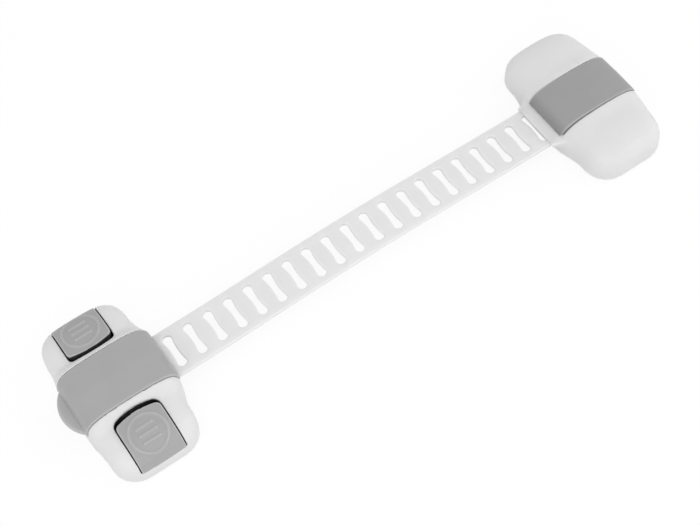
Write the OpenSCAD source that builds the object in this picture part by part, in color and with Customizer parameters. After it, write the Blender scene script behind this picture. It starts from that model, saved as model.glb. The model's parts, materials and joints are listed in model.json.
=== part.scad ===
// Stick-on strap lock for cabinet doors: a two-button latch, a slotted strap and a clamping anchor.
// The origin is the middle of the latch end's adhesive face, +X runs along the strap, +Z points off the door.

/* [Housings] */
// Width of each housing, along the strap
body_w = 31.4; // [29:0.2:36]
// Length of each housing, across the strap
body_l = 62; // [60:0.5:70]
// Corner radius of the housings in plan
body_corner_r = 9; // [7:0.5:11]
// Wall of the housings
wall_t = 1.8; // [1.4:0.1:2.2]
// Height of the housings' ends above the strap's top
shoulder_rise = 4.8; // [4:0.1:6]
// Height of the end walls over the door, below the shoulder curve
end_wall_h = 4; // [3:0.1:5]
// Thickness of the foam adhesive pads
pad_t = 1; // [0.6:0.1:1.6]
// Thickness of the base plates
plate_t = 1.8; // [1.4:0.1:2.2]

/* [Strap] */
// Width of the strap
strap_w = 18; // [16:0.2:20]
// Thickness of the strap
strap_t = 1.6; // [1.2:0.1:2]
// Distance from one slot to the next
slot_pitch = 8; // [7:0.1:9]
// Slots that show between the two housings
visible_slots = 20; // [12:1:26]
// Length of each slot, end to end
slot_l = 12.9; // [11:0.1:13.4]
// Width of a slot at its round ends
slot_end_w = 3.4; // [2.8:0.1:3.8]
// Width of a slot at its waist
slot_waist_w = 2.3; // [1.8:0.1:2.6]
// Rise of the strap's arch at the middle of its span
strap_arch = 2; // [0:0.1:4]

/* [Latch] */
// Side walls of the latch cover, beside the strap
latch_side_t = 1.1; // [1.1:0.05:1.5]
// Height of the latch cover's crest above the strap's top
latch_rise = 8.7; // [8.2:0.1:10]
// Wall of the latch cover
cover_t = 1.6; // [1.3:0.1:2]
// Thickness of the tray that carries the strap
tray_t = 2.4; // [2:0.1:3]
// How far the finger tab stands out
tab_reach = 3.7; // [3:0.1:6]
// Radius of the finger tab
tab_r = 12.8; // [11:0.1:15]
// Thickness of the catch clip's legs
clip_t = 0.9; // [0.7:0.05:1.1]
// Room on each side of the catch clip
clip_room = 1.1; // [0.8:0.1:2]

/* [Buttons] */
// Width of the housing on each side of a button
button_side = 7.5; // [7:0.1:8.2]
// Travel of a button, pressed in towards the latch
button_travel = 1.6; // [1.5:0.1:2.2]
// How far a button's inner end stands above the housing round it
button_rise = 1; // [0:0.1:1.2]
// Distance from the latch cover to the button openings
button_off = 2.1; // [1.9:0.1:3.1]
// Wall of the buttons
button_wall = 1.6; // [1.2:0.1:1.8]
// Distance from the thumb rest's raised rim to the button's edges
rim_in = 1.4; // [1:0.1:3]
// Width of the raised rim and ribs
rim_w = 0.8; // [0.5:0.05:1.1]
// Height of the raised rim and ribs
rim_h = 0.25; // [0.15:0.05:0.35]
// Wire of the button springs
spring_wire = 0.5; // [0.4:0.05:0.6]
// Curls in a button spring
spring_curls = 6; // [4:1:8]

/* [Anchor] */
// How much wider than the strap the anchor cover is
clamp_over = 0.4; // [0.4:0.1:1.4]
// Height of the anchor cover's crest above the strap's top
clamp_rise = 6.3; // [5.8:0.1:7.5]
// Radius of the cover's hinge pin
pin_r = 1; // [0.8:0.05:1.2]
// Radius of the pegs that hold the strap
peg_r = 1.45; // [1.1:0.05:1.6]

/* [Clearances] */
// Gap beside a button, all along its sides
button_gap = 0.35; // [0.2:0.05:0.5]
// Gap beside the latch and the anchor cover
cover_gap = 0.2; // [0.15:0.05:0.3]
// Gap round fitted pieces
fit_gap = 0.15; // [0.1:0.05:0.25]
// Running clearance of the hinge pin
pin_gap = 0.06; // [0.03:0.01:0.1]

/* [Hidden] */
$fn = 48;

// Overrun of every cut past the face it opens
cut = 0.5;
// Press clearance of pins and screws in their holes
press_gap = 0.02;

// Levels over the door
floor_gap = 0.3;
floor_t = 1.4;
plate_z = pad_t + plate_t;
channel_z = plate_z + floor_gap + floor_t;
strap_z = channel_z + tray_t;
strap_top = strap_z + strap_t;
latch_top = strap_top + latch_rise;
clamp_top = strap_top + clamp_rise;
shoulder_z = strap_top + shoulder_rise;
lip_z = pad_t + end_wall_h + wall_t / 2;

// Widths and places that follow the strap and the housings
latch_w = strap_w + 2 * (latch_side_t + cover_gap);
clamp_w = strap_w + clamp_over;
button_w = body_w - 2 * button_side;
button_y = latch_w / 2 + button_off;
shoulder_run = 4.3;
shoulder_y = latch_w / 2 + shoulder_run;

// The strap's slots, from the one held in the latch to the last one on the pegs
lock_nose_lo = 1.4;
lock_nose_hi = 2.7;
held_slot_in = 4.4;
held_slot_x = body_w / 2 + lock_nose_hi - held_slot_in;
peg_rows = 2;
peg_x = held_slot_x + (visible_slots + 1) * slot_pitch;
last_peg_x = peg_x + (peg_rows - 1) * slot_pitch;
strap_lead = 4.5;
strap_x0 = held_slot_x - strap_lead;
stud_y = slot_l / 2 - slot_end_w / 2;

// Forms: end lines, nose at low x, nose at high x, ridge, cover strip, shoulder, power of the arch, inner rise
end_drop_power = 2.6;
nose_in = 1.3;
nose_fade = 11.8;
nose_y0 = strap_w / 2 - nose_in;
nose_y1 = nose_y0 + nose_fade;
ridge_step = 0.6;
clamp_nose_lo = 2.4;
clamp_nose_hi = 2.1;
peg_in = 4.3;
anchor_x = peg_x + body_w / 2 + clamp_nose_lo - peg_in;
crown_drop = 1.3;
end_crown_share = 0.35;
lock_form = [-body_w / 2, body_w / 2, lock_nose_lo, lock_nose_hi, latch_top - ridge_step,
             latch_w / 2 + cover_gap, shoulder_y, 5.5, 0];
button_form = [for (i = [0:8]) i == 8 ? button_rise : lock_form[i]];
anchor_form = [anchor_x - body_w / 2, anchor_x + body_w / 2, clamp_nose_lo, clamp_nose_hi, clamp_top - ridge_step,
               clamp_w / 2 + cover_gap, shoulder_y, 4.4, 0];
section_steps = 28;
corner_steps = 5;
flank_steps = 4;
half_turn = 180;
arch_spread = 0.6;

function ease(t) = let (u = max(0, min(1, t))) u * u * (3 - 2 * u);
function power_round(u, n) = pow(max(0, 1 - pow(min(1, abs(u)), n)), 1 / n);

// A point of the arch |u|^n + v^n = 1, the points drawn a little towards its rounded shoulders
function arch_at(i, n) =
    let (t = half_turn * i / section_steps, c = pow(abs(cos(t)), arch_spread), s = pow(sin(t), arch_spread),
         k = pow(pow(c, n) + pow(s, n), 1 / n))
    [sign(cos(t)) * c / k, s / k];

// Ends of a form's section at y, drawn in by inset, and its top there
function corner_in(y, half_l, r) = let (d = max(0, abs(y) - half_l + r)) r - sqrt(max(0, r * r - d * d));
function nose(y) = 1 - ease((abs(y) - nose_y0) / (nose_y1 - nose_y0));
function form_lo(f, y, inset) =
    f[0] + inset - f[2] * nose(y) + corner_in(y, body_l / 2 - inset, body_corner_r - inset);
function form_hi(f, y, inset) =
    f[1] - inset + f[3] * nose(y) - corner_in(y, body_l / 2 - inset, body_corner_r - inset);
function form_top(f, y, inset) =
    let (end_z = pad_t + end_wall_h,
         s = (abs(y) - f[6]) / (body_l / 2 - inset - f[6]),
         ramp = ease((abs(y) - f[5]) / (f[6] - f[5])))
    (s <= 0 ? f[4] + (shoulder_z - f[4]) * ramp
            : end_z + (shoulder_z - end_z) * power_round(s, end_drop_power)) + f[8] * (1 - ease(s)) - inset;
function crown(f, y) = crown_drop * (1 - (1 - end_crown_share) * ease((abs(y) - f[5]) / (f[6] - f[5])));
function form_z(f, x, y, inset) =
    let (lo = form_lo(f, y, inset), hi = form_hi(f, y, inset), u = (2 * x - lo - hi) / (hi - lo))
    pad_t + (form_top(f, y, inset) - pad_t - crown(f, y) * u * u) * power_round(u, f[7]);

// Places across the strap at which a form's sections lie
function side_rows(f, inset) =
    let (line = body_l / 2 - body_corner_r, r = body_corner_r - inset)
    concat([for (i = [0:flank_steps]) f[5] + (f[6] - f[5]) * i / flank_steps],
           [f[6] + (line - f[6]) / 2, line],
           [for (i = [1:corner_steps]) line + r * sin(90 * i / corner_steps)]);
function form_rows(f, inset) =
    let (side = side_rows(f, inset), n = len(side))
    concat([for (i = [0:n - 1]) -side[n - 1 - i]], [0], side);

// One closed section: an arch of power-curve form that stands on the level z0
function form_section(f, y, inset, z0) =
    let (lo = form_lo(f, y, inset), hi = form_hi(f, y, inset), mid = (lo + hi) / 2, a = (hi - lo) / 2,
         top = form_top(f, y, inset))
    concat([[lo, y, z0], [hi, y, z0]],
           [for (i = [0:section_steps]) let (p = arch_at(i, f[7]))
               [mid + a * p[0], y, pad_t + (top - pad_t - crown(f, y) * p[0] * p[0]) * p[1]]]);

// A solid through closed loops of points, all of the same length
module skin(loops) {
    m = len(loops[0]);
    last = len(loops) - 1;
    polyhedron(points = [for (l = loops) each l],
               faces = concat([[for (j = [0:m - 1]) m - 1 - j]],
                              [[for (j = [0:m - 1]) last * m + j]],
                              [for (i = [0:last - 1], j = [0:m - 1]) let (k = (j + 1) % m)
                                  [i * m + j, i * m + k, (i + 1) * m + k, (i + 1) * m + j]]),
               convexity = 6);
}

// The housings' outer or inner form, with its foot at z0
module pillow(f, inset, z0) {
    skin([for (y = form_rows(f, inset)) form_section(f, y, inset, z0)]);
}

// The same on the far side of the strap only
module half_pillow(f, inset) {
    skin([for (y = side_rows(f, inset)) form_section(f, y, inset, pad_t)]);
}

// The outline of a housing in plan
function plan_points(f, inset) =
    let (rows = form_rows(f, inset), n = len(rows))
    concat([for (y = rows) [form_hi(f, y, inset), y]],
           [for (i = [0:n - 1]) [form_lo(f, rows[n - 1 - i], inset), rows[n - 1 - i]]]);
module plan_slab(f, inset, z0, z1) {
    translate([0, 0, z0])
        linear_extrude(z1 - z0)
            polygon(plan_points(f, inset));
}

// A box between two corners
module box(lo, hi) {
    translate(lo)
        cube(hi - lo);
}
// The same on both sides of the strap
module both_sides() {
    children();
    mirror([0, 1, 0])
        children();
}
module rod(r, x, z, y0, y1) {
    translate([x, y0, z])
        rotate([-90, 0, 0])
            cylinder(r = r, h = y1 - y0);
}

// Far limits that enclose any piece
far = body_l + body_w;

// Screws of the base plates
screw_r = 1;
screw_head_r = 1.9;
screw_head_h = 1;
screw_l = 4.8;
boss_wall = 1.2;
boss_r = screw_r + boss_wall;
screw_in_x = 4.6;
screw_in_y = 6.4;
screw_x = body_w / 2 - screw_in_x;
screw_y = body_l / 2 - screw_in_y;
module screw(r, head_r, head_h, shank_l) {
    cylinder(r = head_r, h = head_h);
    translate([0, 0, head_h])
        cylinder(r = r, h = shank_l);
}
module at_screws(f) {
    mid = (f[0] + f[1]) / 2;
    for (x = [-screw_x, screw_x], y = [-screw_y, screw_y])
        translate([mid + x, y, 0])
            children();
}
module base_screws(f) {
    color("silver")
        at_screws(f)
            translate([0, 0, pad_t + fit_gap])
                screw(screw_r, screw_head_r, screw_head_h, screw_l);
}
module screw_bosses(f) {
    at_screws(f)
        difference() {
            translate([0, 0, plate_z])
                cylinder(r = boss_r, h = form_z(f, f[0] + screw_in_x - boss_r, screw_y + boss_r / 2, 0)
                                         - wall_t / 2 - plate_z);
            translate([0, 0, plate_z - cut])
                cylinder(r = screw_r + press_gap, h = screw_l + cut);
        }
}

pad_inset = 1.2;
module adhesive_pad(f) {
    color([0.72, 0.72, 0.7])
        plan_slab(f, pad_inset, 0, pad_t);
}
module base_plate(f) {
    color([0.86, 0.86, 0.86])
        difference() {
            plan_slab(f, wall_t + fit_gap, pad_t, plate_z);
            at_screws(f)
                translate([0, 0, pad_t - cut])
                    cylinder(r = screw_r + press_gap, h = plate_t + 2 * cut);
            at_screws(f)
                translate([0, 0, pad_t - cut])
                    cylinder(r = screw_head_r + fit_gap, h = screw_head_h + fit_gap + cut);
        }
}

// Latch channel and button chambers
latch_half = latch_w / 2;
channel_half = latch_half + cover_gap;
trough_wall = 1.5;
trough_half = channel_half + trough_wall;
push_r = 1.4;
push_z = channel_z + push_r + fit_gap * 3;

// Latch tray, the screws that hold it to the cover, and the catch clip between them
latch_screw_r = 0.9;
latch_screw_l = 5.2;
latch_screw_head_r = 1.8;
latch_boss_r = latch_screw_r + boss_wall;
latch_boss_clear = 0.8;
tray_in = 2.7;
tray_x0 = tray_in - body_w / 2;
riser_t = 2.4;
latch_boss_x = strap_x0 - latch_boss_r - latch_boss_clear;
latch_boss_back_x = tray_x0 + riser_t + latch_boss_r + fit_gap;
clip_x = (latch_boss_x + latch_boss_back_x) / 2;
clip_w = latch_boss_x - latch_boss_back_x - 2 * latch_boss_r - 2 * clip_room;
window_half = clip_w / 2 + 2 * cover_gap;
window_z0 = channel_z + fit_gap;
window_z1 = push_z + push_r + fit_gap;
opening_half = button_w / 2 + button_gap;
opening_corner_r = 2.2;
opening_arch = 1.3;

// Plan of a button or its opening: straight sides, a gently arched inner edge and round inner corners
function arch_r(half, rise) = (half * half + rise * rise) / (2 * rise);
function button_plan(half, y_in, r, rise, y_out) =
    let (big = arch_r(half, rise), cx = half - r, cy = y_in + big - sqrt(pow(big - r, 2) - cx * cx),
         turn = atan2(cx, y_in + big - cy))
    concat([[half, y_out]],
           [for (i = [0:5]) let (a = -(90 - turn) * i / 5) [cx + r * cos(a), cy + r * sin(a)]],
           [for (i = [1:7]) let (a = turn * (1 - i / 4)) [big * sin(a), y_in + big - big * cos(a)]],
           [for (i = [0:5]) let (a = -(90 - turn) * (1 - i / 5)) [-cx - r * cos(a), cy + r * sin(a)]],
           [[-half, y_out]]);
module button_prism(half, y_in, r, y_out, z0, z1) {
    translate([0, 0, z0])
        linear_extrude(z1 - z0)
            polygon(button_plan(half, y_in, r, opening_arch, y_out));
}

flange_w = 1.7;
flange_h = 1.8;
flange_l = 3.8;
button_in_y = button_y + button_travel + fit_gap;
flange_y = button_in_y + button_wall;
guide_w = 1.3;
flange_z = plate_z + flange_h;
stop_y = flange_y + flange_l + fit_gap;
button_x = -0.4;
guide_top_z = form_z(lock_form, opening_half + guide_w - button_x, stop_y, 0) - wall_t / 2;
strap_way_half = strap_w / 2 + cover_gap;
latch_post_in = 3.1;
latch_post_x = body_w / 2 - latch_post_in;
latch_end_z = strap_top + fit_gap / 2;

module lock_housing() {
    color([0.9, 0.9, 0.9]) {
        difference() {
            pillow(lock_form, 0, pad_t);
            intersection() {
                pillow(lock_form, wall_t, pad_t - cut);
                union() {
                    both_sides()
                        box([-far, trough_half, -far], [far, far, far]);
                    box([-far, -far, -far], [far, far, channel_z - floor_t]);
                }
            }
            box([-far, -strap_way_half, channel_z], [far, strap_way_half, far]);
            box([-latch_post_x, -channel_half, channel_z], [latch_post_x, channel_half, far]);
            box([-far, -channel_half, latch_end_z], [far, channel_half, far]);
            both_sides() {
                translate([button_x, 0, 0])
                    button_prism(opening_half, button_y, opening_corner_r, far, lip_z, far);
                box([clip_x - window_half, channel_half - cut, window_z0],
                    [clip_x + window_half, trough_half + cut, window_z1]);
            }
        }
        screw_bosses(lock_form);
        // Ribs that keep the buttons' flanges down on the base plate, with a stop at their outer ends
        both_sides()
            for (side = [-1, 1])
                translate([button_x + side * (opening_half + fit_gap + guide_w / 2) - guide_w / 2, 0, 0]) {
                    box([0, flange_y, flange_z + 2 * fit_gap], [guide_w, stop_y, guide_top_z]);
                    box([0, stop_y, plate_z + fit_gap], [guide_w, stop_y + guide_w, guide_top_z]);
                }
    }
}

// The button on the far side of the strap, at rest
button_half = button_w / 2;
button_end_in = 1.1;
button_end_y = body_l / 2 - wall_t - button_end_in;
cap_z = lip_z + fit_gap;
seat_y = button_in_y + 5.2;
push_tip_y = trough_half - fit_gap / 2;
spring_r = 2.05;
thumb_y = (button_in_y + body_l / 2) / 2 - fit_gap;
rim_r = min(button_half, (body_l / 2 - button_in_y) / 2) - rim_in;
grip_ribs = 1;
grip_pitch = 2.6;
grip_in = 2.8;
grip_half_l = rim_r - rim_w - grip_in;
module button_far() {
    translate([button_x, 0, 0])
        button_about(-button_x);
}
module button_about(form_x) {
    inner_half = button_half - button_wall;
    inner_y = button_in_y + button_wall;
    sole_z = plate_z + fit_gap / 2;
    difference() {
        union() {
            intersection() {
                translate([form_x, 0, 0])
                    half_pillow(button_form, 0);
                button_prism(button_half, button_in_y, opening_corner_r - button_gap, far, cap_z, far);
            }
            // Raised rim and ribs of the thumb rest
            intersection() {
                translate([form_x, 0, 0])
                    half_pillow(button_form, -rim_h);
                translate([0, thumb_y, cap_z + button_wall]) {
                    difference() {
                        cylinder(r = rim_r, h = far);
                        translate([0, 0, -cut])
                            cylinder(r = rim_r - rim_w, h = far + 2 * cut);
                    }
                    for (i = [-grip_ribs:grip_ribs])
                        translate([0, i * grip_pitch, 0])
                            box([-grip_half_l, -rim_w / 2, 0], [grip_half_l, rim_w / 2, far]);
                }
            }
            button_prism(button_half, button_in_y, opening_corner_r - button_gap, button_end_y,
                         sole_z, cap_z + button_wall);
            for (side = [0, 1])
                mirror([side, 0, 0])
                    box([button_half - button_wall, flange_y, sole_z],
                        [button_half + flange_w, flange_y + flange_l, flange_z]);
        }
        intersection() {
            translate([form_x, 0, 0])
                half_pillow(button_form, button_wall);
            union() {
                button_prism(inner_half, inner_y, opening_corner_r - button_gap, far,
                             cap_z + button_wall, far);
                button_prism(inner_half, inner_y, opening_corner_r - button_gap, button_end_y - button_wall,
                             0, far);
            }
        }
        rod(spring_r + spring_wire, 0, push_z, button_in_y - cut, inner_y + cut);
    }
    // Spring seat and push rod
    box([-inner_half, seat_y, sole_z], [inner_half, seat_y + button_wall, push_z + spring_r + spring_wire]);
    rod(push_r, 0, push_z, push_tip_y, seat_y);
}
module button_rear() {
    color([0.65, 0.65, 0.65])
        button_far();
}
module button_front() {
    color([0.65, 0.65, 0.65])
        mirror([0, 1, 0])
            button_far();
}

// Button spring: one unbroken wire, from the channel wall to the seat in the button
spring_y0 = trough_half + spring_wire / 2;
spring_y1 = seat_y - spring_wire / 2;
rings_per_curl = 8;
wire_sides = 6;
spring_rings = spring_curls * rings_per_curl;
function spring_point(i) =
    let (a = 360 * i / rings_per_curl)
    [button_x + spring_r * cos(a), spring_y0 + (spring_y1 - spring_y0) * i / spring_rings, push_z + spring_r * sin(a)];
function spring_ring(i) =
    let (a = 360 * i / rings_per_curl, c = spring_point(i), out = [cos(a), 0, sin(a)])
    [for (k = [0:wire_sides - 1]) let (w = -360 * k / wire_sides)
        c + spring_wire / 2 * (out * cos(w) + [0, sin(w), 0])];
spring_gap = min([for (i = [0:spring_rings - rings_per_curl])
    norm(spring_point(i + rings_per_curl) - spring_point(i))]) - spring_wire;
echo("Least gap between a button spring's curls, in mm", spring_gap);
module spring_far() {
    skin([for (i = [0:spring_rings]) spring_ring(i)]);
}
module button_spring_rear() {
    color("silver")
        spring_far();
}
module button_spring_front() {
    color("silver")
        mirror([0, 1, 0])
            spring_far();
}

// Covers: an arch of power-curve form, with softened long edges and a light crown across the strap
cover_power = 5.5;
cover_edge = 0.5;
edge_steps = 3;
latch_crown = 0.5;
latch_x0 = form_lo(lock_form, 0, 0) - 0.3 * fit_gap;
latch_x1 = form_hi(lock_form, 0, 0) + 0.3 * fit_gap;
function cover_loop(x0, x1, half, top, y, inset, crest) =
    let (mid = (x0 + x1) / 2, a = (x1 - x0) / 2 - inset, h = top - inset)
    concat([[x0 + inset, y, pad_t], [x1 - inset, y, pad_t]],
           [for (i = [0:section_steps]) let (p = arch_at(i, cover_power), off = p[0] - crest)
               [mid + a * p[0], y, pad_t + (h - pad_t - crown_drop * off * off) * p[1]]]);
function cover_rows(half) =
    concat([for (i = [0:edge_steps]) [-half + cover_edge * (1 - cos(90 * i / edge_steps)),
                                      cover_edge * (1 - sin(90 * i / edge_steps))]],
           [[0, 0]],
           [for (i = [0:edge_steps]) [half - cover_edge * (1 - sin(90 * i / edge_steps)),
                                      cover_edge * (1 - cos(90 * i / edge_steps))]]);
function crown_at(y, half, crown) = crown * (1 - pow(y / half, 2));
module cover_block(x0, x1, half, top, crown, crest) {
    skin([for (row = cover_rows(half))
        cover_loop(x0, x1, half, top - crown + crown_at(row[0], half, crown), row[0], row[1], crest)]);
}
function cover_z(x0, x1, top, x, crest) =
    let (u = (2 * x - x0 - x1) / (x1 - x0), off = u - crest)
    pad_t + (top - pad_t - crown_drop * off * off) * power_round(u, cover_power);

// Latch cover
latch_in_half = latch_half - latch_side_t;
tab_t = 2;
tab_top = strap_top + tab_t / 2 - fit_gap;
latch_boss_in = 1.7;
latch_boss_y = latch_in_half - latch_boss_r - latch_boss_in;
clip_top = latch_top - cover_t - latch_crown - wall_t / 2;
clip_bar_t = 1;
clip_pin_r = 1.3;
clip_post_r = 2.6;
module at_latch_screws() {
    for (x = [latch_boss_back_x, latch_boss_x], y = [-latch_boss_y, latch_boss_y])
        translate([x, y, 0])
            children();
}
module latch_cover() {
    inside_top = latch_top - cover_t;
    color([0.65, 0.65, 0.65]) {
        difference() {
            cover_block(latch_x0, latch_x1, latch_half, latch_top, latch_crown, 0);
            box([-far, -far, -far], [far, far, channel_z + fit_gap]);
            for (side = [0, 1])
                mirror([side, 0, 0])
                    box([latch_post_x - fit_gap, -far, -far], [far, far, latch_end_z + fit_gap]);
            rotate([90, 0, 0])
                translate([0, 0, -latch_in_half])
                    linear_extrude(2 * latch_in_half)
                        polygon([for (p = cover_loop(latch_x0, latch_x1, latch_half, latch_top - latch_crown, 0,
                                                     cover_t, 0)) [p[0], p[2]]]);
            box([-far, -latch_in_half, -far], [latch_x0 + 2 * cover_t, latch_in_half, tab_top + fit_gap / 2]);
            both_sides()
                box([clip_x - window_half, latch_in_half - cut, -far],
                    [clip_x + window_half, far, window_z1 + clip_t]);
        }
        at_latch_screws()
            difference() {
                translate([0, 0, strap_z])
                    cylinder(r = latch_boss_r, h = inside_top - strap_z);
                translate([0, 0, strap_z - cut])
                    cylinder(r = latch_screw_r + press_gap, h = latch_screw_l - tray_t + screw_head_h + cut + fit_gap);
            }
        translate([clip_x, 0, clip_top])
            cylinder(r = clip_post_r, h = inside_top - clip_top);
        translate([clip_x, 0, clip_top - clip_bar_t - fit_gap])
            cylinder(r = clip_pin_r, h = clip_bar_t + 2 * fit_gap);
    }
}

// Tray under the strap, with the finger tab at its outer end and studs through the held slot
tray_x1 = latch_x1 - cover_t;
tray_half = latch_in_half - fit_gap / 2;
leg_in_half = latch_in_half - fit_gap - clip_t;
tray_notch_half = leg_in_half - button_travel - fit_gap;
stud_top = strap_top + 2 * fit_gap + wall_t / 2;
module latch_tray() {
    color([0.6, 0.6, 0.6]) {
        difference() {
            box([tray_x0, -tray_half, channel_z], [tray_x1, tray_half, strap_z]);
            both_sides()
                box([clip_x - window_half, tray_notch_half, channel_z - cut],
                    [clip_x + window_half, far, strap_z + cut]);
            at_latch_screws() {
                translate([0, 0, channel_z - cut])
                    cylinder(r = latch_screw_r + press_gap, h = tray_t + 2 * cut);
                translate([0, 0, channel_z - cut])
                    cylinder(r = latch_screw_head_r + fit_gap / 2, h = screw_head_h + fit_gap + cut);
            }
        }
        box([tray_x0, -tray_half, strap_z], [tray_x0 + riser_t, tray_half, tab_top]);
        box([latch_x0 + tab_t / 2, -tray_half, tab_top - tab_t], [tray_x0, tray_half, tab_top]);
        translate([latch_x0 - tab_reach + tab_r, 0, tab_top - tab_t])
            intersection() {
                rotate_extrude($fn = 96) {
                    square([tab_r - tab_t / 2, tab_t]);
                    translate([tab_r - tab_t / 2, tab_t / 2])
                        circle(r = tab_t / 2, $fn = 24);
                }
                box([-far, -tray_half, 0], [tray_x0 - latch_x0 + tab_reach - tab_r, tray_half, tab_t]);
            }
        for (y = [-stud_y, stud_y])
            translate([held_slot_x, y, strap_z])
                cylinder(r = peg_r, h = stud_top - strap_z);
    }
}
module latch_screws() {
    color("silver")
        at_latch_screws()
            translate([0, 0, channel_z + fit_gap])
                screw(latch_screw_r, latch_screw_head_r, screw_head_h, latch_screw_l);
}

// Springy clip: two legs whose barbs catch under the window's top edge in the channel walls
barb_tip_y = trough_half - 2 * fit_gap - cover_gap / 2;
barb_top_z = window_z1 - fit_gap;
barb_nose_z = barb_top_z - clip_t;
leg_foot_z = channel_z + 2 * fit_gap;
clip_leg = [[leg_in_half, clip_top - clip_bar_t], [leg_in_half, leg_foot_z], [leg_in_half + clip_t, leg_foot_z],
            [barb_tip_y, barb_nose_z], [barb_tip_y, barb_top_z], [leg_in_half + clip_t, barb_top_z],
            [leg_in_half + clip_t, clip_top]];
module catch_clip() {
    color([0.82, 0.82, 0.8])
        difference() {
            translate([clip_x - clip_w / 2, 0, 0])
                rotate([90, 0, 90])
                    linear_extrude(clip_w)
                        polygon(concat(clip_leg, [for (i = [0:len(clip_leg) - 1])
                            let (p = clip_leg[len(clip_leg) - 1 - i]) [-p[0], p[1]]]));
            translate([clip_x, 0, clip_top - clip_bar_t - cut])
                cylinder(r = clip_pin_r + press_gap, h = clip_bar_t + 2 * cut);
        }
}

keeper_t = 1.1;
keeper_half_w = 2.2;
module strap_keeper() {
    color([0.8, 0.8, 0.8])
        difference() {
            box([held_slot_x - keeper_half_w - fit_gap, -strap_w / 2, strap_top],
                [held_slot_x + keeper_half_w, strap_w / 2, strap_top + keeper_t]);
            for (y = [-stud_y, stud_y])
                translate([held_slot_x, y, strap_top - cut])
                    cylinder(r = peg_r + press_gap, h = keeper_t + 2 * cut);
        }
}

// The strap: flat in both housings, with a low arch between them, pierced by dog-bone slots
arch_steps = 24;
arch_x0 = latch_x1;
arch_x1 = peg_x - peg_in - slot_end_w;
function arch_z(i) = strap_arch * (1 - cos(360 * i / arch_steps)) / 2;
function arch_x(i) = arch_x0 + (arch_x1 - arch_x0) * i / arch_steps;
waist_in = (slot_end_w - slot_waist_w) / 2;
waist_r = arch_r(stud_y, waist_in);
strap_end_r = 2.5;
module slot_shape() {
    for (y = [-stud_y, stud_y])
        translate([0, y])
            circle(r = slot_end_w / 2, $fn = 32);
    difference() {
        translate([-slot_end_w / 2, -stud_y])
            square([slot_end_w, 2 * stud_y]);
        for (side = [-1, 1])
            translate([side * (slot_waist_w / 2 + waist_r), 0])
                circle(r = waist_r, $fn = 180);
    }
}
module strap_corner(x, dir) {
    for (side = [-1, 1])
        translate([x, side * strap_w / 2, strap_z - cut])
            difference() {
                translate([dir > 0 ? -strap_end_r : -cut, side > 0 ? -strap_end_r : -cut, 0])
                    cube([strap_end_r + cut, strap_end_r + cut, strap_t + 2 * cut]);
                translate([-dir * strap_end_r, -side * strap_end_r, -cut])
                    cylinder(r = strap_end_r, h = strap_t + 4 * cut);
            }
}
module strap() {
    color([0.9, 0.9, 0.9])
        difference() {
            rotate([90, 0, 0])
                translate([0, 0, -strap_w / 2])
                    linear_extrude(strap_w)
                        polygon(concat([[strap_x0, strap_z]],
                                       [for (i = [0:arch_steps]) [arch_x(i), strap_z + arch_z(i)]],
                                       [[strap_x1, strap_z], [strap_x1, strap_top]],
                                       [for (i = [0:arch_steps])
                                           [arch_x(arch_steps - i), strap_top + arch_z(arch_steps - i)]],
                                       [[strap_x0, strap_top]]));
            for (i = [0:slot_count - 1])
                translate([held_slot_x + i * slot_pitch, 0, strap_z - cut])
                    linear_extrude(strap_t + strap_arch + 2 * cut)
                        slot_shape();
            strap_corner(strap_x0, -1);
            strap_corner(strap_x1, 1);
        }
}

// Anchor: cover channel, hinge and the collar round the strap's mouth
clamp_half = clamp_w / 2;
clamp_channel_half = clamp_half + cover_gap;
clamp_wall = 1.5;
clamp_trough_half = clamp_channel_half + clamp_wall;
clamp_x0 = form_lo(anchor_form, 0, 0) - fit_gap / 2;
clamp_x1 = form_hi(anchor_form, 0, 0) - fit_gap;
clamp_crown = 0.4;
clamp_crest = -0.22;
mouth_z = strap_top + 1.3;
hinge_reach = 4.6;
hinge_x = clamp_x1 - hinge_reach;
hinge_z = clamp_top - hinge_reach - crown_drop;
lug_t = 2.2;
lug_r = 2.4;
cover_end_z = hinge_z - 2.8;
sweep_r = norm([hinge_reach, hinge_z - cover_end_z]) + cover_gap;

// The strap's tail ends short of the hinge, with as many slots as fit in it
tail_room = 4.45;
strap_x1 = hinge_x - lug_r - tail_room;
tail_slots = max(0, floor((strap_x1 - last_peg_x - slot_end_w) / slot_pitch));
slot_count = visible_slots + peg_rows + tail_slots + 1;

collar_side_power = 0.4;
collar_top_power = 0.5;
collar_reach = 3;
collar_root = 2.6;
collar_flare = 5;
collar_steps = 8;
collar_round = 0.7;
collar_low_z = strap_z - clamp_wall;
collar_mid_z = (mouth_z + collar_low_z) / 2 - fit_gap / 2;
function collar_loop(i) =
    let (a = 90 * i / collar_steps, x = clamp_x0 - collar_reach + (collar_reach + collar_root) * sin(a),
         round_in = collar_round * pow(1 - min(1, sin(a) * 2), 2), flare = collar_flare * (1 - cos(a)),
         half = strap_way_half + clamp_wall - round_in + flare,
         top = mouth_z - fit_gap - collar_mid_z - round_in,
         low = collar_mid_z - collar_low_z - round_in + flare)
    [for (k = [0:section_steps - 1])
        let (a = 360 * k / section_steps, c = cos(a), s = sin(a))
        [x, -half * sign(c) * pow(abs(c), collar_side_power),
         collar_mid_z + (s > 0 ? top : low) * sign(s) * pow(abs(s), collar_top_power)]];
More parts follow.
